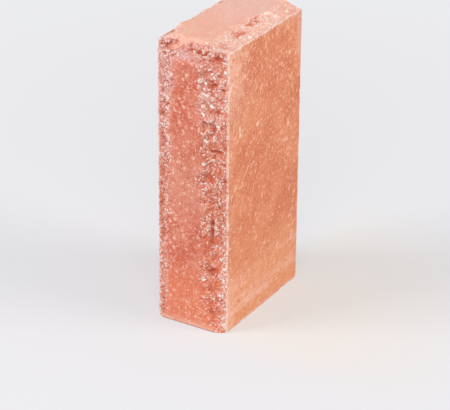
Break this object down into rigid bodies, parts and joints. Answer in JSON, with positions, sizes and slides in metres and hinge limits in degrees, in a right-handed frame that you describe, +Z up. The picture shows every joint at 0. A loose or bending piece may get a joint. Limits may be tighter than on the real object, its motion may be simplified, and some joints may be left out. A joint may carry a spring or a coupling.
{
  "type": "corner brick",
  "caption": "Hyper-pressed facing brick for corners, with pitched long face and end, smooth beds, back and far end.",
  "frame": {"origin": "centre of the plain lower end that the brick stands on, at the middle of its overall plan size", "axes": "+Z up along the length to the pitched end, -Y out of the pitched long face, +X and -X out of the two beds"},
  "size_m": [0.065, 0.12, 0.25],
  "materials": {
    "pressed_brick": "matt, smooth pressed skin on the panels, beds, back and lower end, broken and grainy on the pitched margins"
  },
  "bodies": {
    "root": {"corner_brick": "pressed_brick"}
  },
  "joints": []
}
